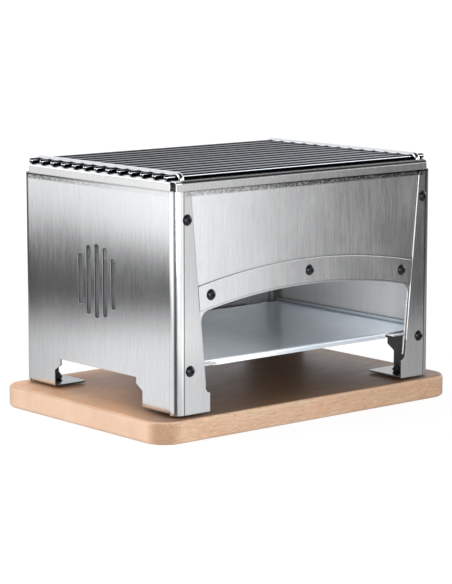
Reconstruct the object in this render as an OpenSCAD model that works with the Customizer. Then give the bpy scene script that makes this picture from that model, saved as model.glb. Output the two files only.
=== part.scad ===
// Portable tabletop charcoal grill standing on a wooden serving board.
// Millimetres. +X runs along the long front, +Y goes back into the depth, +Z is up.
// The origin is the centre of the board's underside. The front faces -Y.

/* [Board] */
// length of the wooden board
board_l = 380; // [372:1:420]
// depth of the wooden board
board_w = 256; // [250:1:280]
// thickness of the wooden board
board_t = 22; // [16:1:30]
// plan radius of the board's corners
board_corner_r = 24; // [14:1:40]
// round on the board's long edges
board_edge_r = 3.5; // [1.5:0.5:5]

/* [Housing] */
// length over the two end walls
housing_l = 330; // [326:1:340]
// depth over the front and back flanges
housing_w = 240; // [236:1:246]
// height of the end walls
housing_h = 208.5; // [204:0.5:220]
// outside radius of the vertical bends
bend_r = 9.5; // [6:0.5:10]
// flange width at the top, from the end wall's outer face
flange_top_w = 18; // [16:0.5:20]
// flange width just above the foot block
flange_foot_w = 35.5; // [33:0.5:38]
// width of the foot block at the bottom of a flange
foot_block_w = 40.5; // [39.5:0.5:44]
// height of the foot block
foot_block_h = 18; // [14:1:22]

/* [End walls] */
// half the width of the air cut-out at the bottom of an end wall
cut_out_half_w = 69.5; // [64:0.5:74]
// height of that cut-out
cut_out_h = 29; // [27:0.5:34]
// height of the vent's centre above the wall's bottom edge
vent_z = 113; // [105:1:125]
// radius of the circle that the vent slots end on
vent_r = 36; // [28:1:40]
// width of one vent slot
vent_slot_w = 7; // [4:0.5:9]
// distance between slot centres
vent_pitch = 13; // [11:0.5:14]

/* [Front opening] */
// how far a front leg shows beyond the flange that covers it
leg_show = 2; // [1:0.5:4]
// height of the arch's crown above the wall's bottom edge
arch_crown_z = 108; // [102:1:112]
// radius of the arch
arch_r = 650; // [560:10:800]
// round where the arch meets the legs
arch_fillet_r = 10; // [6:1:16]
// height of the strap that follows the arch
strap_h = 22.5; // [18:0.5:26]

/* [Fire box] */
// height of the folded rim above the end walls
rim_h = 9.5; // [7:0.5:12]
// depth of the hollow below the rim
fire_box_depth = 86; // [70:1:95]
// width of the flat rim around the hollow
rim_w = 18.5; // [16:0.5:22]

/* [Cooking grate] */
// diameter of the grate's rods
rod_d = 5; // [4:0.5:5.5]
// number of bars
bar_count = 13; // [9:1:17]
// length of one bar over its rounded ends
bar_l = 333; // [326:1:336]
// distance between the first and the last bar
bar_span = 211; // [200:1:212]
// distance from the middle to a cross rod
cross_rod_x = 151.5; // [149:0.5:155]
// diameter of a cross rod
cross_rod_d = 6; // [5.5:0.5:6.5]

/* [Shelf] */
// height of the shelf's underside above the wall's bottom edge
shelf_z = 45; // [43:0.5:52]
// length of the shelf's folded front lip
lip_l = 224; // [200:1:226]

/* [Hidden] */
$fn = 64;
sheet_t = 1.5;
tray_t = 1.2;
foot_pad_h = 2;
base_z = board_t + foot_pad_h;
half_l = housing_l / 2;
half_w = housing_w / 2;
inner_bend_r = bend_r - sheet_t;
foot_depth = half_w - cut_out_half_w;
foot_plate_w = foot_block_w - 1.5;
fold_r = 3;
relief_w = 1.2;
foot_hole_r = 3;
foot_x = half_l - 22;
foot_y = half_w - 25;

screw_r = 3;
screw_hole_r = 3.2;
screw_head_r = 5.25;
screw_head_h = 3.3;
screw_len = 9;
socket_across = 4;
socket_depth = 2;
nut_across = 10;
nut_h = 5;
upper_screw_x = half_l - bend_r - 4.1;
upper_screw_z = housing_h - 26.5;
lower_screw_x = half_l - 16.6;
lower_screw_z = 41;

panel_half_w = half_l - bend_r;
panel_top = housing_h - 0.2;
panel_bottom = 24;
arch_centre_z = arch_crown_z - arch_r;
strap_low_r = arch_r + 2.5;
strap_high_r = strap_low_r + strap_h;
strap_mid_r = (strap_low_r + strap_high_r) / 2;
strap_screw_x = flange_edge(arch_crown_z) - 14.6;
strap_gap = 0.5;
tab_in = 114.5;
tab_out = lower_screw_x - 7.4;
tab_depth = 19;
back_leg_x = flange_edge(0) - leg_show;
ledge_half_l = back_leg_x - 1;
ledge_depth = 15;

rim_out = 0.6;
rim_half_l = half_l + rim_out;
rim_half_w = half_w + rim_out;
rim_top = housing_h + rim_h;
rim_bend_r = 3.2;
skirt_long_x = half_l - 0.5;
skirt_short_x = half_l - 9;
skirt_long_y = half_w - 7.7;
skirt_short_y = half_w - 12;
skirt_relief = 0.6;
hollow_half_l = rim_half_l - rim_w;
hollow_half_w = rim_half_w - rim_w;
hollow_r = 12;
ash_slot_w = 8;
ash_slot_l = 90;
ash_slot_pitch = 50;

rod_r = rod_d / 2;
bar_z = rim_top + rod_r;
bar_pitch = bar_span / (bar_count - 1);
cross_rod_r = cross_rod_d / 2;
cross_turn_r = cross_rod_r + 1;
cross_z = rim_top + cross_turn_r;
cross_leg_y = bar_span / 2 + rod_r + cross_rod_r;

shelf_half_l = half_l - sheet_t - 0.8;
shelf_half_w = half_w - 10;
lip_h = 4;
upstand_h = 4;
shelf_bend_r = 2;

// distance from the middle to a flange's sloping edge at height z
function flange_edge(z) =
  half_l - flange_foot_w
  + (flange_foot_w - flange_top_w) * (z - foot_block_h) / (housing_h - foot_block_h);

// height of a strap screw that stands x away from the middle
function strap_screw_z(x) = arch_centre_z + sqrt(strap_mid_r * strap_mid_r - x * x);

// points of an arc about (x, z), without its last point
function arc_points(x, z, r, from, to, steps) =
  [for (i = [0:steps - 1]) let (a = from + (to - from) * i / steps) [x + r * cos(a), z + r * sin(a)]];

// a flat outline in X and Z, given thickness along +Y from y
module upright(y, t) {
  translate([0, y + t, 0])
    rotate([90, 0, 0])
      linear_extrude(t)
        children();
}

// a plain bore along Y
module bore_y(x, z, r, y_from, y_to) {
  translate([x, y_to, z])
    rotate([90, 0, 0])
      cylinder(h = y_to - y_from, r = r);
}

// rectangle with round corners, centred
module round_rect(half_x, half_y, r) {
  square([2 * half_x, 2 * (half_y - r)], center = true);
  square([2 * (half_x - r), 2 * half_y], center = true);
  for (sx = [-1, 1], sy = [-1, 1])
    translate([sx * (half_x - r), sy * (half_y - r)])
      circle(r);
}

// ---- wooden board ----
module board_edge(half_side) {
  translate([0, board_t / 2])
    round_rect(half_side, board_t / 2, board_edge_r);
}

module serving_board() {
  color("burlywood") {
    rotate([90, 0, 90])
      linear_extrude(board_l - 2 * board_corner_r, center = true)
        board_edge(board_w / 2);
    rotate([90, 0, 0])
      linear_extrude(board_w - 2 * board_corner_r, center = true)
        board_edge(board_l / 2);
    for (sx = [-1, 1], sy = [-1, 1])
      translate([sx * (board_l / 2 - board_corner_r), sy * (board_w / 2 - board_corner_r), 0])
        rotate_extrude()
          intersection() {
            board_edge(board_corner_r);
            square([board_corner_r, board_t]);
          }
  }
}

// ---- end housings: one folded sheet with flanges and feet ----
module flange_outline() {
  top_round = 4;
  foot_round = 4.5;
  start_x = half_l - bend_r;
  edge_x = half_l - foot_block_w;
  difference() {
    polygon([
      [start_x, 0],
      [edge_x, 0],
      [edge_x, foot_block_h],
      [edge_x, foot_block_h + foot_round],
      [flange_edge(foot_block_h + foot_round), foot_block_h + foot_round],
      [flange_edge(housing_h), housing_h],
      [start_x, housing_h],
    ]);
    translate([flange_edge(foot_block_h) - foot_round, foot_block_h + foot_round])
      circle(foot_round);
    translate([edge_x - 1, foot_block_h])
      square([flange_edge(foot_block_h) - foot_round - edge_x + 1, 2 * foot_round]);
    difference() {
      translate([flange_edge(housing_h) - 1, housing_h - top_round])
        square([top_round + 1, top_round + 1]);
      translate([flange_edge(housing_h) + top_round, housing_h - top_round])
        circle(top_round);
    }
  }
}

// air slots, cut in the left-hand wall only
module vent_slots() {
  for (i = [-2:2]) {
    y = i * vent_pitch;
    half = sqrt(vent_r * vent_r - y * y) - vent_slot_w / 2;
    translate([-half_l - 1, y, base_z + vent_z])
      rotate([90, 0, 90])
        linear_extrude(sheet_t + 2) {
          square([vent_slot_w, 2 * half], center = true);
          for (s = [-1, 1])
            translate([0, s * half])
              circle(vent_slot_w / 2);
        }
  }
}

module end_wall() {
  difference() {
    translate([half_l - sheet_t, -(half_w - bend_r), 0])
      cube([sheet_t, 2 * (half_w - bend_r), housing_h]);
    translate([half_l - sheet_t - 1, 0, 0])
      rotate([90, 0, 90])
        linear_extrude(sheet_t + 2)
          polygon([
            [-cut_out_half_w, -1],
            [-cut_out_half_w, 17],
            [-cut_out_half_w + 9.5, 23],
            [-cut_out_half_w + 9.5, cut_out_h],
            [cut_out_half_w - 9.5, cut_out_h],
            [cut_out_half_w - 9.5, 23],
            [cut_out_half_w, 17],
            [cut_out_half_w, -1],
          ]);
    for (s = [0, 1])
      mirror([0, s, 0])
        translate([half_l - sheet_t - 1, -(half_w - bend_r), -1])
          cube([sheet_t + 2, foot_depth - bend_r + 1, fold_r + 1]);
  }
}

module corner_bend() {
  translate([half_l - bend_r, -(half_w - bend_r), 0])
    rotate([0, 0, 270])
      rotate_extrude(angle = 90)
        translate([inner_bend_r, 0])
          square([sheet_t, housing_h]);
}

// the front half of the right-hand housing's flange side
module flange_side() {
  corner_bend();
  difference() {
    upright(-half_w, sheet_t)
      flange_outline();
    bore_y(upper_screw_x, upper_screw_z, screw_hole_r, -half_w - 1, -half_w + sheet_t + 1);
    bore_y(lower_screw_x, lower_screw_z, screw_hole_r, -half_w - 1, -half_w + sheet_t + 1);
  }
}

// the end wall's foot folds inwards into a flat plate; a slit keeps the fold clear of the corner
module foot_plate() {
  round_r = 5;
  in_x = half_l - foot_plate_w;
  in_y = -cut_out_half_w;
  fold_x = half_l - fold_r;
  fold_start = -(half_w - bend_r) + relief_w;
  difference() {
    union() {
      translate([in_x, -half_w + sheet_t + 0.3, 0])
        cube([half_l - bend_r - in_x, foot_depth - sheet_t - 0.3, sheet_t]);
      translate([half_l - bend_r, fold_start, 0])
        cube([bend_r - fold_r, in_y - fold_start, sheet_t]);
    }
    difference() {
      translate([in_x - 1, in_y - round_r, -1])
        cube([round_r + 1, round_r + 1, sheet_t + 2]);
      translate([in_x + round_r, in_y - round_r, -1])
        cylinder(h = sheet_t + 2, r = round_r);
    }
    translate([foot_x, -foot_y, -1])
      cylinder(h = sheet_t + 2, r = foot_hole_r);
  }
  translate([fold_x, in_y, fold_r])
    rotate([90, 0, 0])
      linear_extrude(in_y - fold_start)
        intersection() {
          difference() {
            circle(fold_r);
            circle(fold_r - sheet_t);
          }
          translate([0, -fold_r])
            square(fold_r);
        }
}

module right_end_housing() {
  color("silver")
    translate([0, 0, base_z]) {
      end_wall();
      for (s = [0, 1])
        mirror([0, s, 0]) {
          flange_side();
          foot_plate();
        }
    }
}

module left_end_housing() {
  color("silver")
    difference() {
      mirror([1, 0, 0])
        right_end_housing();
      vent_slots();
    }
}

// ---- front panel: legs, arch and shelf tabs ----
module front_opening() {
  lean = (flange_foot_w - flange_top_w) / (housing_h - foot_block_h);
  slant = sqrt(1 + lean * lean);
  leg_start = flange_edge(0) - leg_show;
  rest_x = leg_start - arch_fillet_r * slant;
  quad_b = 2 * (rest_x * lean - arch_centre_z);
  quad_c = rest_x * rest_x + pow(arch_centre_z, 2) - pow(arch_r - arch_fillet_r, 2);
  fillet_z = (sqrt(quad_b * quad_b - 4 * slant * slant * quad_c) - quad_b) / (2 * slant * slant);
  fillet_x = rest_x + lean * fillet_z;
  tilt = asin(fillet_x / (arch_r - arch_fillet_r));
  leg_end = panel_bottom - 1;
  polygon([
    [leg_start + lean * leg_end, leg_end],
    each arc_points(fillet_x, fillet_z, arch_fillet_r, -atan(lean), 90 - tilt, 16),
    each arc_points(0, arch_centre_z, arch_r, 90 - tilt, 90 + tilt, 64),
    each arc_points(-fillet_x, fillet_z, arch_fillet_r, 90 + tilt, 180 + atan(lean), 16),
    [-(fillet_x + arch_fillet_r * cos(atan(lean))), fillet_z - arch_fillet_r * sin(atan(lean))],
    [-(leg_start + lean * leg_end), leg_end],
  ]);
}

module housing_screw_bores(y_from, y_to) {
  for (s = [-1, 1]) {
    bore_y(s * upper_screw_x, upper_screw_z, screw_hole_r, y_from, y_to);
    bore_y(s * lower_screw_x, lower_screw_z, screw_hole_r, y_from, y_to);
  }
}

module strap_screw_bores(y_from, y_to) {
  for (s = [-1, 0, 1])
    bore_y(s * strap_screw_x, strap_screw_z(strap_screw_x * s), screw_hole_r, y_from, y_to);
}

module front_panel() {
  front_y = -half_w + sheet_t;
  color("gainsboro")
    translate([0, 0, base_z]) {
      difference() {
        upright(front_y, sheet_t)
          difference() {
            translate([-panel_half_w, panel_bottom])
              square([2 * panel_half_w, panel_top - panel_bottom]);
            front_opening();
          }
        housing_screw_bores(front_y - 1, front_y + sheet_t + 1);
        strap_screw_bores(front_y - 1, front_y + sheet_t + 1);
      }
      for (s = [0, 1])
        mirror([s, 0, 0])
          translate([tab_in, front_y, shelf_z - sheet_t])
            cube([tab_out - tab_in, tab_depth, sheet_t]);
    }
}

// ---- back panel: closed, with a folded ledge under the shelf ----
module back_panel() {
  back_y = half_w - 2 * sheet_t;
  ledge_z = shelf_z - sheet_t;
  color("gainsboro")
    translate([0, 0, base_z]) {
      difference() {
        upright(back_y, sheet_t)
          difference() {
            translate([-panel_half_w, panel_bottom])
              square([2 * panel_half_w, panel_top - panel_bottom]);
            translate([-back_leg_x, panel_bottom - 1])
              square([2 * back_leg_x, ledge_z - panel_bottom + 1]);
          }
        housing_screw_bores(back_y - 1, back_y + sheet_t + 1);
      }
      translate([-ledge_half_l, back_y + sheet_t - ledge_depth, ledge_z])
        cube([2 * ledge_half_l, ledge_depth, sheet_t]);
    }
}

// ---- strap that follows the arch between the flanges ----
module arch_strap() {
  low_z = arch_centre_z + strap_low_r;
  color("silver")
    translate([0, 0, base_z])
      difference() {
        upright(-half_w, sheet_t)
          intersection() {
            difference() {
              translate([0, arch_centre_z])
                circle(strap_high_r, $fn = 360);
              translate([0, arch_centre_z])
                circle(strap_low_r, $fn = 360);
            }
            polygon([
              [-flange_edge(low_z - 40) + strap_gap, low_z - 40],
              [flange_edge(low_z - 40) - strap_gap, low_z - 40],
              [flange_edge(low_z + 40) - strap_gap, low_z + 40],
              [-flange_edge(low_z + 40) + strap_gap, low_z + 40],
            ]);
          }
        strap_screw_bores(-half_w - 1, -half_w + sheet_t + 1);
      }
}

// ---- fire box: hollow tray with a folded rim ----
// section of the rim's fold: flat, bend and skirt, for an outer face at distance out
module rim_section(out, flat_from) {
  translate([flat_from, rim_top - tray_t])
    square([out - rim_bend_r - flat_from, tray_t]);
  translate([out - tray_t, housing_h])
    square([tray_t, rim_h - rim_bend_r]);
  translate([out - rim_bend_r, rim_top - rim_bend_r])
    intersection() {
      difference() {
        circle(rim_bend_r);
        circle(rim_bend_r - tray_t);
      }
      square(rim_bend_r);
    }
}

// the rim's flat: two corners are cut back where a fold stops short
module rim_flat() {
  flat_x = rim_half_l - rim_bend_r;
  flat_y = rim_half_w - rim_bend_r;
  polygon([
    [-flat_x, -flat_y],
    [skirt_short_x, -flat_y],
    [flat_x, -skirt_short_y],
    [flat_x, flat_y],
    [-skirt_short_x, flat_y],
    [-flat_x, skirt_short_y],
  ]);
}

// each fold runs to the corner at one end and stops short at the other
module fire_box() {
  floor_z = rim_top - fire_box_depth;
  color("lightgray")
    translate([0, 0, base_z]) {
      for (turn = [0, 180])
        rotate([0, 0, turn]) {
          translate([0, (skirt_long_y - skirt_short_y) / 2, 0])
            rotate([90, 0, 0])
              linear_extrude(skirt_long_y + skirt_short_y, center = true)
                rim_section(rim_half_l, hollow_half_l);
          translate([(skirt_long_x - skirt_short_x) / 2, 0, 0])
            rotate([90, 0, 90])
              linear_extrude(skirt_long_x + skirt_short_x, center = true)
                rim_section(rim_half_w, skirt_long_y + skirt_relief);
        }
      translate([0, 0, rim_top - tray_t])
        linear_extrude(tray_t)
          difference() {
            rim_flat();
            round_rect(hollow_half_l, hollow_half_w, hollow_r);
          }
      translate([0, 0, floor_z])
        linear_extrude(fire_box_depth)
          difference() {
            round_rect(hollow_half_l + tray_t, hollow_half_w + tray_t, hollow_r + tray_t);
            round_rect(hollow_half_l, hollow_half_w, hollow_r);
          }
      translate([0, 0, floor_z - tray_t])
        linear_extrude(tray_t)
          difference() {
            round_rect(hollow_half_l + tray_t, hollow_half_w + tray_t, hollow_r + tray_t);
            for (i = [-2:2])
              translate([i * ash_slot_pitch, 0])
                round_rect(ash_slot_w / 2, ash_slot_l / 2, ash_slot_w / 2 - 0.1);
          }
    }
}

// ---- cooking grate ----
// straight bars that lie on the rim, with round ends
module bar_set() {
  straight = bar_l - rod_d;
  for (i = [0:bar_count - 1])
    translate([0, -bar_span / 2 + i * bar_pitch, base_z + bar_z])
      rotate([0, 90, 0]) {
        cylinder(h = straight, r = rod_r, center = true, $fn = 24);
        for (s = [-1, 1])
          translate([0, 0, s * straight / 2])
            sphere(rod_r, $fn = 24);
      }
}

module grate_bars() {
  color("dimgray")
    bar_set();
}

// a cross rod lets the bars into its underside and turns down onto the rim at both ends
module cross_rod() {
  turn_y = cross_leg_y - cross_turn_r;
  difference() {
    translate([cross_rod_x, 0, base_z]) {
      translate([0, 0, cross_z])
        rotate([90, 0, 0])
          cylinder(h = 2 * turn_y, r = cross_rod_r, center = true, $fn = 24);
      for (s = [0, 1])
        mirror([0, s, 0])
          translate([0, turn_y, rim_top])
            rotate([90, 0, 90])
              rotate_extrude(angle = 90)
                translate([cross_turn_r, 0])
                  circle(cross_rod_r, $fn = 24);
    }
    bar_set();
  }
}

module right_cross_rod() {
  color("dimgray")
    cross_rod();
}

module left_cross_rod() {
  color("dimgray")
    mirror([1, 0, 0])
      cross_rod();
}

// ---- shelf under the fire box ----
module shelf_side() {
  bend_x = shelf_half_l - shelf_bend_r;
  rotate([90, 0, 0])
    linear_extrude(2 * shelf_half_w, center = true) {
      translate([bend_x, shelf_bend_r])
        intersection() {
          difference() {
            circle(shelf_bend_r);
            circle(shelf_bend_r - sheet_t);
          }
          translate([0, -shelf_bend_r])
            square(shelf_bend_r);
        }
      translate([shelf_half_l - sheet_t, shelf_bend_r])
        square([sheet_t, upstand_h + sheet_t - shelf_bend_r]);
    }
}

module shelf() {
  flat_half_l = shelf_half_l - shelf_bend_r;
  front_y = -shelf_half_w;
  color("lightsteelblue")
    translate([0, 0, base_z + shelf_z]) {
      difference() {
        translate([-flat_half_l, front_y, 0])
          cube([2 * flat_half_l, 2 * shelf_half_w, sheet_t]);
        translate([-lip_l / 2, front_y - 1, -1])
          cube([lip_l, shelf_bend_r + 1, sheet_t + 2]);
      }
      for (s = [0, 1])
        mirror([s, 0, 0])
          shelf_side();
      translate([0, front_y + shelf_bend_r, sheet_t - shelf_bend_r])
        rotate([90, 0, 90])
          linear_extrude(lip_l, center = true) {
            intersection() {
              difference() {
                circle(shelf_bend_r);
                circle(shelf_bend_r - sheet_t);
              }
              translate([-shelf_bend_r, 0])
                square(shelf_bend_r);
            }
            translate([-shelf_bend_r, shelf_bend_r - sheet_t - lip_h])
              square([sheet_t, lip_h + sheet_t - shelf_bend_r]);
          }
    }
}

// ---- fasteners: button heads with a hex socket, and plain hex nuts ----
// the screw points along +Y with its head's seat at y = 0
module button_screw() {
  dome_r = (screw_head_r * screw_head_r + screw_head_h * screw_head_h) / (2 * screw_head_h);
  rotate([-90, 0, 0])
    difference() {
      union() {
        cylinder(h = screw_len, r = screw_r);
        mirror([0, 0, 1])
          rotate_extrude()
            intersection() {
              translate([0, screw_head_h - dome_r - 0.2])
                circle(dome_r + 0.2);
              square([screw_head_r, screw_head_h - 0.3]);
            }
      }
      translate([0, 0, -screw_head_h - 1])
        cylinder(h = socket_depth + 1.3, r = socket_across / 2 / cos(30), $fn = 6);
    }
}

// the nut's seat is at y = 0 and it stands along +Y
module hex_nut() {
  rotate([-90, 0, 0])
    difference() {
      cylinder(h = nut_h, r = nut_across / 2 / cos(30), $fn = 6);
      translate([0, 0, -1])
        cylinder(h = nut_h + 2, r = screw_r + 0.05);
    }
}

module at_housing_screws(y) {
  for (s = [-1, 1]) {
    translate([s * upper_screw_x, y, base_z + upper_screw_z])
      children();
    translate([s * lower_screw_x, y, base_z + lower_screw_z])
      children();
  }
}

module at_strap_screws(y) {
  for (s = [-1, 0, 1])
    translate([s * strap_screw_x, y, base_z + strap_screw_z(strap_screw_x * s)])
      children();
}

module front_housing_screws() {
  color("black")
    at_housing_screws(-half_w)
      button_screw();
}

module back_housing_screws() {
  color("black")
    rotate([0, 0, 180])
      at_housing_screws(-half_w)
        button_screw();
}

module arch_strap_screws() {
  color("black")
    at_strap_screws(-half_w)
      button_screw();
}

module front_housing_nuts() {
  color("darkgray")
    at_housing_screws(-half_w + 2 * sheet_t)
      hex_nut();
}

module back_housing_nuts() {
  color("darkgray")
    rotate([0, 0, 180])
      at_housing_screws(-half_w + 2 * sheet_t)
        hex_nut();
}

module arch_strap_nuts() {
  color("darkgray")
    at_strap_screws(-half_w + 2 * sheet_t)
      hex_nut();
}

// ---- push-in rubber feet ----
module rubber_foot() {
  pad_r = 7;
  bulb_r = 4.8;
  translate([foot_x, -foot_y, board_t])
    rotate_extrude()
      polygon([
        [0, 0],
        [pad_r - 0.5, 0],
        [pad_r, 0.5],
        [pad_r, foot_pad_h],
        [foot_hole_r, foot_pad_h],
        [foot_hole_r, foot_pad_h + sheet_t],
        [bulb_r, foot_pad_h + sheet_t + 2],
        [1.6, foot_pad_h + sheet_t + 7],
        [0, foot_pad_h + sheet_t + 7],
      ]);
}

module front_right_foot() {
  color("black")
    rubber_foot();
}

module front_left_foot() {
  color("black")
    mirror([1, 0, 0])
      rubber_foot();
}

module back_right_foot() {
  color("black")
    mirror([0, 1, 0])
      rubber_foot();
}

module back_left_foot() {
  color("black")
    rotate([0, 0, 180])
      rubber_foot();
}

serving_board();
left_end_housing();
right_end_housing();
front_panel();
back_panel();
arch_strap();
fire_box();
grate_bars();
left_cross_rod();
right_cross_rod();
shelf();
front_housing_screws();
back_housing_screws();
arch_strap_screws();
front_housing_nuts();
back_housing_nuts();
arch_strap_nuts();
front_left_foot();
front_right_foot();
back_left_foot();
back_right_foot();
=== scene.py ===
"""Finishes, studio and camera for a portable tabletop charcoal grill on its wooden board."""

import math

import bpy
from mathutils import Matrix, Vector

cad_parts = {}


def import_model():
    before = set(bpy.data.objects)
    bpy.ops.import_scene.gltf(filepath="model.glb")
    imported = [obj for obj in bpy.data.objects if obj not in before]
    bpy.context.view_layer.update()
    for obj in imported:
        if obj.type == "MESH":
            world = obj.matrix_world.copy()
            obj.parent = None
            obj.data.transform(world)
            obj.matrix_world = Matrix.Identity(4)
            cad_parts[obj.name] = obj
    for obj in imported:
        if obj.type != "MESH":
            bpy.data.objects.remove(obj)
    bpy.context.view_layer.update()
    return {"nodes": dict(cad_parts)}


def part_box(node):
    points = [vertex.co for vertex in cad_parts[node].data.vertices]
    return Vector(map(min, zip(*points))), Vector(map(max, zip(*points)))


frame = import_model()
nodes = frame["nodes"]

# ---------------------------------------------------------------- places and directions, in metres
MM = 0.001
housing_low, housing_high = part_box("left_end_housing")
half_l = -housing_low.x
half_w = housing_high.y
foot_z = housing_low.z
housing_top = housing_high.z
bend_start_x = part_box("front_panel")[1].x
bend_start_y = half_w - (half_l - bend_start_x)
shelf_low_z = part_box("shelf")[0].z
bars_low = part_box("grate_bars")[0]

VIEW_TURN = math.radians(40.24)
VIEW_DOWN = math.radians(8.90)
view_forward = (math.sin(VIEW_TURN), math.cos(VIEW_TURN), 0.0)
view_right = (math.cos(VIEW_TURN), -math.sin(VIEW_TURN), 0.0)
# the view's right as the grill's front mirrors it
mirrored_right = (math.cos(VIEW_TURN), math.sin(VIEW_TURN), 0.0)
NEAR_CORNER = (-0.66, -0.75, 0.0)
RIGHT_STRIP_LIGHT = (0.69, -0.72, 0.0)
LEFT_STRIP_LIGHT = (-0.62, 0.78, 0.0)


# ---------------------------------------------------------------- node helpers
class Graph:
    """A short way to write a node tree."""

    def __init__(self, tree):
        self.tree = tree
        tree.nodes.clear()

    def add(self, kind, inputs=None, **props):
        node = self.tree.nodes.new(kind)
        for name, value in props.items():
            setattr(node, name, value)
        for name, value in (inputs or {}).items():
            self.put(node.inputs[name], value)
        return node

    def put(self, socket, value):
        if isinstance(value, bpy.types.NodeSocket):
            self.tree.links.new(value, socket)
        elif isinstance(value, bpy.types.Node):
            self.tree.links.new(value.outputs[0], socket)
        else:
            socket.default_value = value

    def calc(self, operation, *values):
        node = self.add("ShaderNodeMath", operation=operation)
        for socket, value in zip(node.inputs, values):
            self.put(socket, value)
        return node.outputs[0]

    def product(self, first, *others):
        for other in others:
            first = self.calc("MULTIPLY", first, other)
        return first

    def total(self, first, *others):
        for other in others:
            first = self.calc("ADD", first, other)
        return first

    def unsigned(self, value):
        return self.calc("ABSOLUTE", value)

    def less(self, mask, amount):
        """A factor that is 1 outside the mask and 1 - amount inside it."""
        return self.calc("MULTIPLY_ADD", mask, -amount, 1.0)

    def place(self):
        """The point's place in the frame that every piece shares."""
        return self.add("ShaderNodeTexCoord").outputs["Object"]

    def vector(self, operation, *values):
        node = self.add("ShaderNodeVectorMath", operation=operation)
        for socket, value in zip(node.inputs, values):
            self.put(socket, value)
        return node.outputs["Value" if operation in ("DOT_PRODUCT", "LENGTH") else "Vector"]

    def split(self, vector):
        return self.add("ShaderNodeSeparateXYZ", {"Vector": vector}).outputs

    def remap(self, value, low, high, to_low=0.0, to_high=1.0, smooth=True):
        """to_low where value is low, to_high where it is high, and neither less nor more beyond."""
        ends = {"From Min": low, "From Max": high, "To Min": to_low, "To Max": to_high}
        kind = "SMOOTHSTEP" if smooth else "LINEAR"
        return self.add("ShaderNodeMapRange", {"Value": value, **ends}, interpolation_type=kind).outputs[0]

    def noise(self, vector, scale=1.0, detail=2.0, rough=0.5):
        inputs = {"Vector": vector, "Scale": scale, "Detail": detail, "Roughness": rough}
        return self.add("ShaderNodeTexNoise", inputs).outputs["Fac"]

    def stretch(self, vector, scale, move=(0, 0, 0)):
        return self.add("ShaderNodeMapping", {"Vector": vector, "Scale": scale, "Location": move}).outputs[0]

    def mix(self, factor, a, b, blend="MIX"):
        node = self.add("ShaderNodeMix", data_type="RGBA", blend_type=blend)
        self.put(node.inputs[0], factor)
        self.put(node.inputs[6], a)
        self.put(node.inputs[7], b)
        return node.outputs[2]

    def blend(self, factor, a, b):
        node = self.add("ShaderNodeMix", data_type="FLOAT")
        self.put(node.inputs[0], factor)
        self.put(node.inputs[2], a)
        self.put(node.inputs[3], b)
        return node.outputs[0]

    def shaded(self, colour, shade):
        """The colour, darker or lighter by a plain factor."""
        tone = self.add("ShaderNodeCombineColor", {"Red": shade, "Green": shade, "Blue": shade})
        return self.mix(1.0, colour, tone, "MULTIPLY")

    def ramp(self, factor, stops):
        node = self.add("ShaderNodeValToRGB", {"Fac": factor})
        elements = node.color_ramp.elements
        while len(elements) > 1:
            elements.remove(elements[-1])
        elements[0].position = stops[0][0]
        elements[0].color = (*stops[0][1], 1)
        for position, colour in stops[1:]:
            element = elements.new(position)
            element.color = (*colour, 1)
        return node.outputs["Color"]

    def openness(self, distance, samples):
        """1 in the open, less where something is closer than distance."""
        return self.add("ShaderNodeAmbientOcclusion", {"Distance": distance}, samples=samples).outputs["AO"]

    def bump(self, height, strength, distance, **inputs):
        sockets = {"Height": height, "Strength": strength, "Distance": distance, **inputs}
        return self.add("ShaderNodeBump", sockets)

    def finish(self, inputs):
        """Ends the tree with one principled surface."""
        shader = self.add("ShaderNodeBsdfPrincipled", inputs)
        self.add("ShaderNodeOutputMaterial", {"Surface": shader})


class Surface:
    """Where a point of the object is and which way it faces."""

    def __init__(self, g):
        self.place = g.place()
        self.x, self.y, self.z = g.split(self.place)
        self.normal = g.add("ShaderNodeNewGeometry").outputs["Normal"]
        self.face_x, self.face_y, self.face_z = g.split(self.normal)


class Sheet(Surface):
    """A surface that also knows which of its faces turn towards the grill's middle."""

    def __init__(self, g):
        super().__init__(g)
        from_middle = g.add("ShaderNodeCombineXYZ", {"X": self.x, "Y": self.y, "Z": 0.0})
        outward = g.vector("DOT_PRODUCT", g.vector("NORMALIZE", from_middle), self.normal)
        self.inner = g.remap(outward, -0.05, -0.35)
        self.inner_wall = g.product(self.inner, g.remap(g.unsigned(self.face_z), 0.6, 0.4))
        self.mirrored = g.add("ShaderNodeLightPath").outputs["Is Glossy Ray"]


def new_material(name):
    material = bpy.data.materials.new(name)
    material.use_nodes = True
    return material, Graph(material.node_tree)


def grey(value):
    return (value, value, value, 1)


# ---------------------------------------------------------------- shades of the sheet steel
# Each of these returns a factor that darkens or lightens the sheet somewhere.
def dark_inside(g, at):
    """Painted shade: inner walls darken towards the back, where little light gets in; in reflections they
    are painted brighter.
    """
    depth = g.remap(at.y, 20 * MM - half_w, half_w - 5 * MM, 1.34, 0.33)
    depth = g.product(depth, g.calc("MULTIPLY_ADD", at.mirrored, 1.6, 1.0))
    return g.blend(at.inner_wall, 1.0, depth)


def press_lines(g, at):
    """The press leaves a fine dark line where each corner's bend begins."""

    def line(value, start):
        off = g.unsigned(g.calc("SUBTRACT", g.unsigned(value), start - 0.2 * MM))
        return g.remap(off, 0.7 * MM, 0.3 * MM)

    on_front = g.remap(g.unsigned(at.y), half_w - 2 * MM, half_w - 1 * MM)
    on_side = g.remap(g.unsigned(at.x), half_l - 2 * MM, half_l - 1 * MM)
    front_line = g.product(line(at.x, bend_start_x), on_front, 0.8)
    side_line = g.product(line(at.y, bend_start_y), on_side, 0.12)
    return g.less(g.total(front_line, side_line), 1.0)


def away_from_near_corner(g, at):
    """0 at the near corner, growing along the front and along the left wall."""
    along_front = g.product(g.total(at.x, half_l), 2.2)
    along_side = g.product(g.total(at.y, half_w), 2.6)
    return g.total(along_front, along_side)


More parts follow.
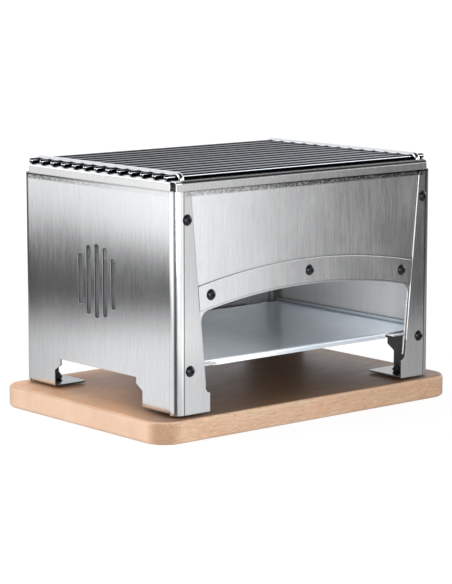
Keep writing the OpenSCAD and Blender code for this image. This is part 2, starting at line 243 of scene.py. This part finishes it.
def rim_shade_strip(g, at):
    """Painted shade: a mottled dark strip runs right under the fire box's rim, the shadow and reflection of
    its overhang.
    """
    speckle = g.noise(g.stretch(at.place, (420.0, 420.0, 700.0)), detail=4.0, rough=0.7)
    strip = g.remap(at.z, housing_top - 6.3 * MM, housing_top - 4.3 * MM)
    on_front = g.remap(away_from_near_corner(g, at), -0.025, 0.425, 0.5, 1.0)
    on_side = g.remap(at.y, 60 * MM - half_w, half_w - 10 * MM, 0.12, 0.85)
    side = g.remap(g.unsigned(at.x), half_l - 15 * MM, half_l - 11 * MM)
    strip_shade = g.product(strip, g.remap(speckle, 0.30, 0.56), g.blend(side, on_front, on_side))
    return g.less(strip_shade, 0.86)


def rim_shadow(g, at):
    """The rim throws a dark line on the sheet under it, fading towards the near corner."""
    line = g.remap(at.z, housing_top - 2.2 * MM, housing_top - 1.3 * MM)
    return g.less(g.product(line, g.remap(away_from_near_corner(g, at), 0.075, 0.675, 0.1, 0.85)), 1.0)


def deep_shade(g, at):
    """The foot plates, and the inner faces under the shelf and in the back corner, are dark."""
    plate = g.product(g.remap(at.face_z, 0.8, 0.95), g.remap(at.z, foot_z + 6 * MM, foot_z + 2 * MM))
    low = g.product(at.inner_wall, g.remap(at.z, shelf_low_z, shelf_low_z - 3 * MM))
    corner_x = g.remap(at.x, half_l - 17 * MM, half_l - 11 * MM)
    corner_y = g.remap(at.y, half_w - 20 * MM, half_w - 12 * MM)
    corner = g.product(at.inner_wall, corner_x, corner_y, 0.7)
    return g.less(g.calc("MAXIMUM", g.calc("MAXIMUM", plate, low), corner), 0.86)


def shaded_slot_cuts(g, at):
    """Painted shade: the cut faces of the vent slots in the left wall are darkened, as the slots are dark
    inside.
    """
    cut = g.remap(g.unsigned(at.face_x), 0.6, 0.4)
    in_wall = g.remap(at.x, 2.5 * MM - half_l, 2 * MM - half_l)
    in_middle = g.remap(g.unsigned(at.y), 60 * MM, 50 * MM)
    return g.less(g.product(cut, in_wall, in_middle), 0.93)


def unmirrored_cuts(g, at):
    """Painted reflection: the front flanges' cut edges are pale, but are painted dark in reflections, so the
    panel beside them doesn't mirror them.
    """
    cut = g.remap(g.unsigned(at.face_y), 0.5, 0.3)
    in_flange = g.remap(at.y, 2 * MM - half_w, 1.6 * MM - half_w)
    return g.less(g.product(cut, in_flange, at.mirrored), 0.95)


def painted_front_shade(g, at):
    """Painted shade: the front faces of flanges and rim are darker than the panel, most of all near the top,
    and the corner's bend a little darker too.
    """
    front = g.remap(at.face_y, -0.90, -0.98)
    front = g.product(front, g.remap(at.z, foot_z + 36 * MM, foot_z + 146 * MM, 0.07, 0.28))
    bend = g.product(g.remap(at.face_y, -0.35, -0.60), g.remap(at.face_y, -0.985, -0.93), 0.24)
    return g.less(g.total(front, bend), 1.0)


def bar_reflection(g, at):
    """The rim's flat mirrors the dark underside of the first bar."""
    flat = g.remap(at.face_z, 0.02, 0.22)
    before_bar = g.remap(at.y, bars_low.y - 0.5 * MM, bars_low.y - 1.5 * MM)
    beside_end = g.remap(at.x, bars_low.x + 6.5 * MM, bars_low.x + 10.5 * MM)
    return g.less(g.product(flat, before_bar, beside_end), 0.86)


def lit_near_end(g, at):
    """The opening lights the shelf's near end most."""
    return g.remap(at.x, -150 * MM, 20 * MM, 2.5, 0.90)


# ---------------------------------------------------------------- brushed sheet steel
def brushed_steel(name, grain, shades, tint=(0.86, 0.865, 0.87), rough=0.15, matt=0.04):
    """Sheet steel with a brushed grain along one axis, 'x', 'y' or 'z', and the given local shades."""
    material, g = new_material(name)
    at = Sheet(g)

    def streaks(across, along, move=0.0):
        scale = [across] * 3
        scale["xyz".index(grain)] = along
        return g.noise(g.stretch(at.place, scale, (move, move, move)))

    fine = g.product(streaks(1300.0, 120.0), 0.5)
    mid = g.product(streaks(620.0, 30.0, 3.0), 0.42)
    broad = g.product(streaks(170.0, 5.0, 7.0), 0.08)
    lines = g.calc("SUBTRACT", g.total(fine, mid, broad), 0.5)
    cloud = g.noise(at.place, scale=16.0, detail=3.0)

    # painted highlight on cut and folded edges, and painted shade in the gaps between sheets
    edge = g.add("ShaderNodeBevel", {"Radius": 0.6 * MM}, samples=6)
    turned = g.calc("SUBTRACT", 1.0, g.vector("DOT_PRODUCT", edge, at.normal))
    rim = g.remap(turned, 0.02, 0.25)
    gap = g.remap(g.openness(4.5 * MM, 8), 0.35, 0.93, 0.08, 1.0)

    shade = g.calc("MULTIPLY_ADD", lines, 0.36, 1.0)
    shade = g.product(shade, g.remap(cloud, 0.3, 0.7, 0.975, 1.015), gap)
    for part_shade in shades:
        shade = g.product(shade, part_shade(g, at))
    shade = g.total(shade, g.product(rim, 0.12))

    # faces turned towards the middle keep the mill's dull finish
    patchy = g.remap(cloud, 0.25, 0.75, rough - 0.01, rough + 0.02)
    roughness = g.total(g.product(lines, 0.12), patchy, g.product(rim, 0.15), g.product(at.inner, 0.2))
    metal = g.calc("SUBTRACT", 1.0 - matt, g.product(rim, 0.25))
    metal = g.product(metal, g.less(at.inner, 0.5))

    # the highlight stretches across the grain; a small push keeps the tangent from vanishing
    axis = [float(letter == grain) for letter in "xyz"]
    tangent = g.vector("ADD", g.vector("CROSS_PRODUCT", at.normal, axis), (0.001, 0.0007, 0.0004))
    g.finish(
        {
            "Base Color": g.shaded((*tint, 1), shade),
            "Metallic": metal,
            "Roughness": roughness,
            "Anisotropic": 0.88,
            "Tangent": g.vector("NORMALIZE", tangent),
            "Normal": g.bump(lines, 0.05, 0.2 * MM, Normal=edge),
        }
    )
    return material


# ---------------------------------------------------------------- beech board
def beech():
    material, g = new_material("beech")
    at = Surface(g)
    end = g.remap(g.unsigned(at.face_x), 0.5, 0.9)
    top = g.remap(g.unsigned(at.face_z), 0.75, 0.98)

    # soft growth figure, then fibres, then the short dark flecks beech is known by
    slow = g.stretch(at.place, (3.0, 12.0, 12.0))
    warp = g.add("ShaderNodeTexNoise", {"Vector": slow, "Scale": 1.0, "Detail": 3.0})
    wave = g.vector("MULTIPLY", warp.outputs["Color"], (0.6, 1.6, 1.6))
    figure = g.noise(g.vector("ADD", g.stretch(at.place, (1.5, 14.0, 14.0)), wave), scale=1.6, detail=3.0)
    fibre = g.noise(g.stretch(at.place, (38.0, 620.0, 620.0)), detail=3.0, rough=0.6)
    fleck = g.noise(g.stretch(at.place, (150.0, 560.0, 560.0), (5.0, 2.0, 9.0)))
    blush = g.noise(g.stretch(at.place, (18.0, 24.0, 60.0)), detail=3.0, rough=0.6)
    pore = g.noise(g.stretch(at.place, (700.0, 700.0, 700.0)))

    # the fibres and flecks show less on the ends, where cut pores show instead
    calm = g.less(end, 0.7)
    tones = [(0.25, (0.56, 0.365, 0.235)), (0.5, (0.64, 0.44, 0.30)), (0.8, (0.71, 0.52, 0.375))]
    base = g.ramp(figure, tones)
    for mask, colour in (
        (g.product(g.remap(blush, 0.45, 0.72), 0.55), (0.66, 0.37, 0.235, 1)),
        (g.product(g.remap(fibre, 0.42, 0.72), 0.34, calm), (0.44, 0.27, 0.165, 1)),
        (g.product(g.remap(fleck, 0.56, 0.70), 0.40, calm), (0.40, 0.235, 0.14, 1)),
        (g.product(g.remap(fleck, 0.44, 0.30), 0.35, calm), (0.82, 0.66, 0.52, 1)),
        (g.product(end, 0.25), (0.74, 0.56, 0.47, 1)),
        (g.product(end, 0.14, g.remap(pore, 0.45, 0.65)), (0.42, 0.25, 0.155, 1)),
        (g.product(top, 0.45), (0.64, 0.40, 0.24, 1)),
    ):
        base = g.mix(mask, base, colour)

    # painted shade: the top lies in the grill's shade and the near corner is turned from both lights; the
    # left end is painted lighter
    shaded = g.remap(g.vector("DOT_PRODUCT", at.place, view_right), -110 * MM, -50 * MM, 1.75, 0.50)
    shaded = g.product(shaded, g.remap(g.openness(160 * MM, 12), 0.35, 0.85, 0.58, 1.0))
    corner = g.remap(g.vector("DOT_PRODUCT", at.normal, NEAR_CORNER), 0.68, 0.99)
    left = g.remap(at.face_x, -0.80, -0.99, 1.0, 1.15)
    base = g.mix(g.calc("MAXIMUM", corner, top), base, (0.88, 0.76, 0.66, 1), "MULTIPLY")
    base = g.shaded(base, g.product(g.blend(top, 1.0, shaded), g.less(corner, 0.30), left))

    g.finish(
        {
            "Base Color": base,
            "Roughness": g.remap(fibre, 0.3, 0.7, 0.40, 0.52),
            "Specular IOR Level": g.calc("MULTIPLY_ADD", top, -0.1, 0.4),
            "Normal": g.bump(g.total(g.product(fibre, 0.6), g.product(fleck, 0.4)), 0.2, 0.4 * MM),
        }
    )
    return material


# ---------------------------------------------------------------- rods, fasteners, rubber
def rod_steel(name, grain, low, high, shade_in_gaps, crown, dim_over_fire=0.0):
    """Drawn rod with a painted highlight along its shoulder and painted shade on its crown and underside."""
    material, g = new_material(name)
    at = Surface(g)
    scale = [700.0] * 3
    scale["xyz".index(grain)] = 30.0
    drawn = g.noise(g.stretch(at.place, scale), detail=3.0)
    patch = g.noise(at.place, scale=40.0, detail=3.0)
    colour = g.mix(g.remap(patch, 0.3, 0.75), (*low, 1), (*high, 1))
    # painted shade where other parts come close
    near = g.remap(g.openness(10 * MM, 8), 0.35, 0.95, 1.0 - shade_in_gaps, 1.0)

    # over the fire the painted shoulder highlight is weaker and the crown a little lighter; along the front
    # and at the rods' ends it stays full
    front = g.remap(at.y, bars_low.y + 8 * MM, bars_low.y + 6 * MM)
    ends = g.remap(g.unsigned(at.x), -bars_low.x - 12.5 * MM, -bars_low.x - 9.5 * MM)
    dimmed = g.product(g.less(g.calc("MAXIMUM", front, ends), 1.0), dim_over_fire)

    # painted highlight along the shoulder, painted shade on the crown and underside
    shoulder = g.product(g.remap(at.face_z, -0.02, 0.08), g.remap(at.face_z, 0.34, 0.24))
    rest = g.remap(at.face_z, -0.05, 0.25, 0.12, g.calc("MULTIPLY_ADD", dimmed, 0.055, crown))
    shade = g.product(near, g.blend(shoulder, rest, g.less(dimmed, 0.7)))
    g.finish(
        {
            "Base Color": g.shaded(colour, shade),
            "Metallic": 1.0,
            "Roughness": g.remap(drawn, 0.3, 0.7, 0.10, 0.18),
            "Normal": g.bump(drawn, 0.08, 0.2 * MM),
        }
    )
    return material


def black_fastener():
    material, g = new_material("black_fastener")
    at = Surface(g)
    speck = g.noise(at.place, scale=900.0, detail=3.0)
    # painted highlight: the heads' turned edges and socket rims are lighter
    edge = g.add("ShaderNodeBevel", {"Radius": 0.4 * MM}, samples=4)
    turned = g.calc("SUBTRACT", 1.0, g.vector("DOT_PRODUCT", edge, at.normal))
    edge_highlight = g.product(g.remap(turned, 0.05, 0.3), 0.7)
    black = g.mix(g.remap(speck, 0.4, 0.8), (0.008, 0.009, 0.011, 1), (0.02, 0.021, 0.024, 1))
    g.finish(
        {
            "Base Color": g.mix(edge_highlight, black, (0.16, 0.175, 0.20, 1)),
            "Specular IOR Level": 0.3,
            "Roughness": g.remap(speck, 0.3, 0.7, 0.18, 0.28),
            "Normal": g.bump(speck, 0.15, 0.2 * MM, Normal=edge),
        }
    )
    return material


def zinc_nut():
    material, g = new_material("zinc_nut")
    speck = g.noise(g.place(), scale=700.0, detail=4.0)
    g.finish(
        {
            "Base Color": g.mix(speck, (0.50, 0.51, 0.52, 1), (0.68, 0.69, 0.70, 1)),
            "Metallic": 1.0,
            "Roughness": g.remap(speck, 0.3, 0.7, 0.28, 0.42),
            "Normal": g.bump(speck, 0.15, 0.2 * MM),
        }
    )
    return material


def black_rubber():
    material, g = new_material("black_rubber")
    speck = g.noise(g.place(), scale=1500.0, detail=3.0)
    g.finish(
        {
            "Base Color": g.mix(speck, (0.010, 0.010, 0.011, 1), (0.022, 0.022, 0.023, 1)),
            "Roughness": g.remap(speck, 0.3, 0.7, 0.55, 0.7),
            "Normal": g.bump(speck, 0.3, 0.2 * MM),
        }
    )
    return material


# ---------------------------------------------------------------- which piece has which finish
panel_shades = [dark_inside, press_lines, rim_shade_strip, rim_shadow]
housing_shades = panel_shades + [deep_shade, shaded_slot_cuts, unmirrored_cuts, painted_front_shade]
shelf_shades = [dark_inside, lit_near_end]
rim_shades = [painted_front_shade, bar_reflection]

panel_sheet = brushed_steel("sheet_upright", "z", panel_shades)
housing_sheet = brushed_steel("sheet_housing", "z", housing_shades)
shelf_sheet = brushed_steel("sheet_shelf", "x", shelf_shades, tint=(0.84, 0.92, 1.0), rough=0.22, matt=0.45)
rim_sheet = brushed_steel("sheet_rim", "z", rim_shades, tint=(0.82, 0.82, 0.815), rough=0.18)
bar_rods = rod_steel("bar_steel", "x", (0.82, 0.86, 0.93), (0.90, 0.92, 0.96), 0.85, 0.075, dim_over_fire=1.0)
cross_rods = rod_steel("cross_rod_steel", "y", (0.90, 0.91, 0.93), (0.95, 0.95, 0.96), 0.3, 0.66)

finishes = [
    (beech(), ["serving_board"]),
    (housing_sheet, ["left_end_housing", "right_end_housing"]),
    (panel_sheet, ["front_panel", "back_panel", "arch_strap"]),
    (rim_sheet, ["fire_box"]),
    (shelf_sheet, ["shelf"]),
    (bar_rods, ["grate_bars"]),
    (cross_rods, ["left_cross_rod", "right_cross_rod"]),
    (black_fastener(), ["front_housing_screws", "back_housing_screws", "arch_strap_screws"]),
    (zinc_nut(), ["front_housing_nuts", "back_housing_nuts", "arch_strap_nuts"]),
    (black_rubber(), ["front_left_foot", "front_right_foot", "back_left_foot", "back_right_foot"]),
]
for material, names in finishes:
    for name in names:
        for slot in nodes[name].material_slots:
            slot.material = material


# ---------------------------------------------------------------- floor
def left_wall_light(g, x, y):
    """What the left wall mirrors in the floor: a dark belt between bright ends."""
    off = g.calc("SUBTRACT", -half_l, x)
    depth = g.calc("SUBTRACT", y, g.product(off, 1.182))
    lower = g.total(off, g.calc("MULTIPLY_ADD", depth, 0.45, 0.032))
    upper = g.total(off, g.calc("MULTIPLY_ADD", depth, -0.18, 0.021))
    belt = g.product(g.remap(lower, 0.27, 0.56), g.remap(upper, 1.05, 0.66))
    ends = g.remap(off, 0.35, 1.0, 0.79, 1.22)
    return g.product(ends, g.less(belt, 0.93), g.remap(depth, 0.0, 0.15, 1.06, 0.68))


def front_light(g, place, y):
    """What the front mirrors: a fall from bright to dark across the view, weaker close by."""
    across = g.vector("DOT_PRODUCT", place, mirrored_right)
    fall = g.remap(across, -0.32, -0.01, 1.48, 0.22, smooth=False)
    far = g.calc("SUBTRACT", fall, g.remap(across, -0.01, 0.10, 0.0, 0.17, smooth=False))
    near = g.remap(across, -0.30, 0.06, 0.95, 0.33, smooth=False)
    return g.blend(g.remap(y, -0.34, -0.62), near, far)


def mirrored_dark_band(g, x, y):
    """Painted reflection: what the near corner's bend mirrors, a narrow dark band painted into the floor's
    glow, seen from the bend's centre.
    """
    to_y = g.calc("SUBTRACT", 10 * MM - half_w, y)
    to_x = g.calc("SUBTRACT", 10 * MM - half_l, x)
    off = g.unsigned(g.calc("SUBTRACT", g.calc("ARCTAN2", to_y, to_x), 0.48))
    return g.less(g.remap(off, 0.42, 0.22), 0.96)


def floor():
    mesh = bpy.data.meshes.new("floor")
    half_side = 30.0
    corners = [(x * half_side, y * half_side, 0) for x, y in ((-1, -1), (1, -1), (1, 1), (-1, 1))]
    mesh.from_pydata(corners, [], [(0, 1, 2, 3)])
    plane = bpy.data.objects.new("floor", mesh)
    bpy.context.scene.collection.objects.link(plane)
    material, g = new_material("floor")
    place = g.place()
    x, y, _ = g.split(place)

    # glossy rays see a painted glow on the floor, the studio that the steel mirrors
    left_side = g.remap(g.calc("SUBTRACT", y, x), -0.15, 0.25)
    seen = g.blend(left_side, front_light(g, place, y), left_wall_light(g, x, y))
    seen = g.product(seen, mirrored_dark_band(g, x, y))
    glow = g.add("ShaderNodeEmission", {"Color": (0.985, 0.99, 1.0, 1), "Strength": seen})

    # for the camera the pale floor fades into the plain white background
    plain = g.add("ShaderNodeBsdfDiffuse", {"Color": grey(0.9)})
    white = g.add("ShaderNodeEmission", {"Color": grey(1.0), "Strength": 1.1})
    distance = g.remap(g.vector("LENGTH", place), 0.15, 0.7, 0.80, 1.0)
    fade = g.add("ShaderNodeMixShader", {0: distance, 1: plain, 2: white})
    path = g.add("ShaderNodeLightPath")
    unmirrored = g.add("ShaderNodeMixShader", {0: path.outputs["Is Camera Ray"], 1: plain, 2: fade})
    chosen = g.add("ShaderNodeMixShader", {0: path.outputs["Is Glossy Ray"], 1: unmirrored, 2: glow})
    g.add("ShaderNodeOutputMaterial", {"Surface": chosen})
    mesh.materials.append(material)


# ---------------------------------------------------------------- studio room and lamps
def world():
    sky = bpy.data.worlds.new("studio")
    bpy.context.scene.world = sky
    sky.use_nodes = True
    g = Graph(sky.node_tree)
    direction = g.add("ShaderNodeTexCoord").outputs["Generated"]
    up = g.split(direction)[2]

    def towards(bearing, low, high):
        return g.remap(g.vector("DOT_PRODUCT", direction, bearing), low, high)

    # mirrored room: a pale backdrop behind and above, a dim front
    room = g.calc("MULTIPLY_ADD", towards(view_forward, 0.18, 0.55), 1.25, 0.06)
    # two strip lights that only the rods and rounded edges mirror
    height = g.product(g.remap(up, -0.02, 0.05), g.remap(up, 0.50, 0.36))
    room = g.total(room, g.product(towards(RIGHT_STRIP_LIGHT, 0.40, 0.75), height, 2.2))
    left_strip = g.product(towards(LEFT_STRIP_LIGHT, 0.35, 0.75), g.remap(up, 0.0, 0.1, 0.0, 1.25))
    room = g.calc("MAXIMUM", room, left_strip)
    mirrored = g.add("ShaderNodeBackground", {"Color": (0.96, 0.98, 1.0, 1), "Strength": room})

    # a soft sky lights the object, and the camera sees plain white
    soft = g.remap(up, 0.0, 0.9, 0.95, 0.50)
    lit = g.add("ShaderNodeBackground", {"Color": (1.0, 0.99, 0.98, 1), "Strength": soft})
    white = g.add("ShaderNodeBackground", {"Color": grey(1.0), "Strength": 1.1})
    path = g.add("ShaderNodeLightPath")
    unseen = g.add("ShaderNodeMixShader", {0: path.outputs["Is Glossy Ray"], 1: lit, 2: mirrored})
    chosen = g.add("ShaderNodeMixShader", {0: path.outputs["Is Camera Ray"], 1: unseen, 2: white})
    g.add("ShaderNodeOutputWorld", {"Surface": chosen})


def softbox(name, place, target, width, height, power):
    light = bpy.data.lights.new(name, "AREA")
    light.shape = "RECTANGLE"
    light.size = width
    light.size_y = height
    light.energy = power
    lamp = bpy.data.objects.new(name, light)
    bpy.context.scene.collection.objects.link(lamp)
    lamp.location = place
    lamp.rotation_euler = (Vector(target) - Vector(place)).to_track_quat("-Z", "Y").to_euler()


def camera():
    lens = bpy.data.cameras.new("camera")
    lens.sensor_fit = "HORIZONTAL"
    lens.sensor_width = 36.0
    lens.lens = 183.186
    lens.clip_end = 100.0
    eye = bpy.data.objects.new("camera", lens)
    bpy.context.scene.collection.objects.link(eye)
    eye.location = (-1.471, -1.734, 0.466)
    eye.rotation_euler = (math.radians(90.0) - VIEW_DOWN, 0.0, -VIEW_TURN)
    bpy.context.scene.camera = eye


floor()
world()
softbox("left_back", (-1.7, 0.6, 0.9), (0, 0, 0.05), 0.9, 0.9, 9.0)
softbox("front_low", (-0.7, -0.95, 0.22), (0.05, 0, 0.09), 0.6, 0.4, 6.5)
camera()

view_settings = bpy.context.scene.view_settings
view_settings.view_transform = "Standard"
view_settings.look = "None"
view_settings.exposure = 0.0
